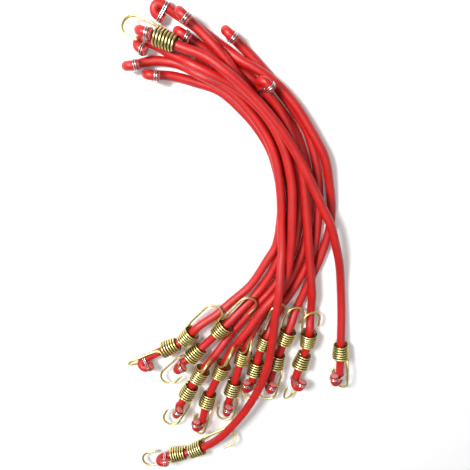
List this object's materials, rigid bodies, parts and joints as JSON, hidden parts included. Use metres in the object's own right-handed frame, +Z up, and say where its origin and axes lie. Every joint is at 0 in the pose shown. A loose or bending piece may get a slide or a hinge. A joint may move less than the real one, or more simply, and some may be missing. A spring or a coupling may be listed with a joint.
{
  "type": "bungee cord set",
  "caption": "Bunch of elastic shock cords in a braided jacket, curved in an open C, each with folded ends, wire clips and two coiled steel hooks.",
  "frame": {"origin": "on the floor under the middle of the bunch, z = 0 is the surface it lies on", "axes": "+Z up off the floor, +Y towards the ends that show one hook in front of the other cords, +X to the outside of the C-shaped curve"},
  "size_m": [0.2236, 0.4676, 0.0382],
  "materials": {
    "braid": "tight red polyester braid with a satin sheen, over rubber",
    "hook_wire": "round steel wire, yellow zinc plated, bright",
    "clip_wire": "bare galvanised wire, two turns pressed tight"
  },
  "bodies": {
    "bunch": {"cord_a_elastic_rope": "braid", "cord_a_clip_1": "clip_wire", "cord_a_clip_2": "clip_wire", "cord_b_elastic_rope": "braid", "cord_b_clip_1": "clip_wire", "cord_b_clip_2": "clip_wire", "cord_c_elastic_rope": "braid", "cord_c_clip_1": "clip_wire", "cord_c_clip_2": "clip_wire", "cord_e_elastic_rope": "braid", "cord_e_clip_1": "clip_wire", "cord_e_clip_2": "clip_wire", "cord_f_elastic_rope": "braid", "cord_f_clip_1": "clip_wire", "cord_f_clip_2": "clip_wire", "cord_g_elastic_rope": "braid", "cord_g_clip_1": "clip_wire", "cord_g_clip_2": "clip_wire", "cord_h_elastic_rope": "braid", "cord_h_clip_1": "clip_wire", "cord_h_clip_2": "clip_wire", "cord_i_elastic_rope": "braid", "cord_i_clip_1": "clip_wire", "cord_i_clip_2": "clip_wire", "cord_j_elastic_rope": "braid", "cord_j_clip_1": "clip_wire", "cord_j_clip_2": "clip_wire", "cord_k_elastic_rope": "braid", "cord_k_clip_1": "clip_wire", "cord_k_clip_2": "clip_wire"},
    "a_hook_1": {"cord_a_hook_1": "hook_wire"},
    "a_hook_2": {"cord_a_hook_2": "hook_wire"},
    "b_hook_1": {"cord_b_hook_1": "hook_wire"},
    "b_hook_2": {"cord_b_hook_2": "hook_wire"},
    "c_hook_1": {"cord_c_hook_1": "hook_wire"},
    "c_hook_2": {"cord_c_hook_2": "hook_wire"},
    "e_hook_1": {"cord_e_hook_1": "hook_wire"},
    "e_hook_2": {"cord_e_hook_2": "hook_wire"},
    "f_hook_1": {"cord_f_hook_1": "hook_wire"},
    "f_hook_2": {"cord_f_hook_2": "hook_wire"},
    "g_hook_1": {"cord_g_hook_1": "hook_wire"},
    "g_hook_2": {"cord_g_hook_2": "hook_wire"},
    "h_hook_1": {"cord_h_hook_1": "hook_wire"},
    "h_hook_2": {"cord_h_hook_2": "hook_wire"},
    "i_hook_1": {"cord_i_hook_1": "hook_wire"},
    "i_hook_2": {"cord_i_hook_2": "hook_wire"},
    "j_hook_1": {"cord_j_hook_1": "hook_wire"},
    "j_hook_2": {"cord_j_hook_2": "hook_wire"},
    "k_hook_1": {"cord_k_hook_1": "hook_wire"},
    "k_hook_2": {"cord_k_hook_2": "hook_wire"}
  },
  "joints": [
    {"name": "a_hook_1_turn", "type": "hinge", "parent": "bunch", "child": "a_hook_1", "pos_m": [-0.05059, 0.19986, 0.02154], "axis": [-0.9108, 0.3685, -0.1863], "range_deg": [-25, 12]},
    {"name": "a_hook_2_turn", "type": "hinge", "parent": "bunch", "child": "a_hook_2", "pos_m": [0.10178, -0.07904, 0.00955], "axis": [0.0564, -0.998, -0.0295], "range_deg": [-25, 6]},
    {"name": "b_hook_1_turn", "type": "hinge", "parent": "bunch", "child": "b_hook_1", "pos_m": [0.06652, -0.09067, 0.00875], "axis": [-0.2864, -0.9579, 0.0223], "range_deg": [-18, 15]},
    {"name": "b_hook_2_turn", "type": "hinge", "parent": "bunch", "child": "b_hook_2", "pos_m": [0.06838, -0.08138, 0.00899], "axis": [0.0823, 0.9932, 0.0824], "range_deg": [-6, 10]},
    {"name": "c_hook_1_turn", "type": "hinge", "parent": "bunch", "child": "c_hook_1", "pos_m": [0.04044, -0.09106, 0.00882], "axis": [-0.2183, -0.9759, 0.0005], "range_deg": [-4, 10]},
    {"name": "c_hook_2_slide", "type": "slide", "parent": "bunch", "child": "c_hook_2", "axis": [0.3112, 0.9503, 0.0003], "range_m": [-0.0015, 0.004]},
    {"name": "e_hook_1_turn", "type": "hinge", "parent": "bunch", "child": "e_hook_1", "pos_m": [-0.05717, -0.21565, 0.00925], "axis": [-0.9777, -0.21, -0.0081], "range_deg": [-30, 4]},
    {"name": "e_hook_2_turn", "type": "hinge", "parent": "bunch", "child": "e_hook_2", "pos_m": [-0.05282, -0.21471, 0.00947], "axis": [0.9008, 0.4334, -0.0263], "range_deg": [-18, 12]},
    {"name": "f_hook_1_turn", "type": "hinge", "parent": "bunch", "child": "f_hook_1", "pos_m": [-0.06095, -0.07917, 0.0089], "axis": [-0.8989, -0.4381, 0.0086], "range_deg": [-12, 6]},
    {"name": "f_hook_2_turn", "type": "hinge", "parent": "bunch", "child": "f_hook_2", "pos_m": [-0.05596, -0.07689, 0.0088], "axis": [0.6772, 0.7334, 0.0601], "range_deg": [-80, 4]},
    {"name": "g_hook_1_turn", "type": "hinge", "parent": "bunch", "child": "g_hook_1", "pos_m": [-0.03753, -0.08379, 0.00893], "axis": [-0.7044, -0.7097, 0.0112], "range_deg": [-15, 30]},
    {"name": "g_hook_2_slide", "type": "slide", "parent": "bunch", "child": "g_hook_2", "axis": [0.673, 0.7389, 0.0346], "range_m": [-0.002, 0.004]},
    {"name": "h_hook_1_turn", "type": "hinge", "parent": "bunch", "child": "h_hook_1", "pos_m": [-0.0473, -0.12861, 0.00928], "axis": [-0.4872, -0.8733, -0.006], "range_deg": [-35, 12]},
    {"name": "h_hook_2_turn", "type": "hinge", "parent": "bunch", "child": "h_hook_2", "pos_m": [-0.04387, -0.12251, 0.00933], "axis": [0.5196, 0.8544, -0.0068], "range_deg": [-15, 12]},
    {"name": "i_hook_1_turn", "type": "hinge", "parent": "bunch", "child": "i_hook_1", "pos_m": [-0.02925, -0.13808, 0.00918], "axis": [-0.2859, -0.9582, 0.0032], "range_deg": [-20, 12]},
    {"name": "i_hook_2_turn", "type": "hinge", "parent": "bunch", "child": "i_hook_2", "pos_m": [-0.02067, -0.11784, 0.00875], "axis": [0.3781, 0.9247, 0.0439], "range_deg": [-12, 25]},
    {"name": "j_hook_1_turn", "type": "hinge", "parent": "bunch", "child": "j_hook_1", "pos_m": [0.01937, -0.09954, 0.00896], "axis": [-0.2099, -0.9777, 0.0086], "range_deg": [-3, 9]},
    {"name": "j_hook_2_slide", "type": "slide", "parent": "bunch", "child": "j_hook_2", "axis": [0.299, 0.9495, 0.0947], "range_m": [-0.004, 0.0008]},
    {"name": "k_hook_1_turn", "type": "hinge", "parent": "bunch", "child": "k_hook_1", "pos_m": [-0.00353, -0.12332, 0.00919], "axis": [-0.2335, -0.9724, 0.001], "range_deg": [-30, 12]},
    {"name": "k_hook_2_turn", "type": "hinge", "parent": "bunch", "child": "k_hook_2", "pos_m": [0.00201, -0.10152, 0.00892], "axis": [0.265, 0.9641, 0.0167], "range_deg": [-10, 20]}
  ]
}
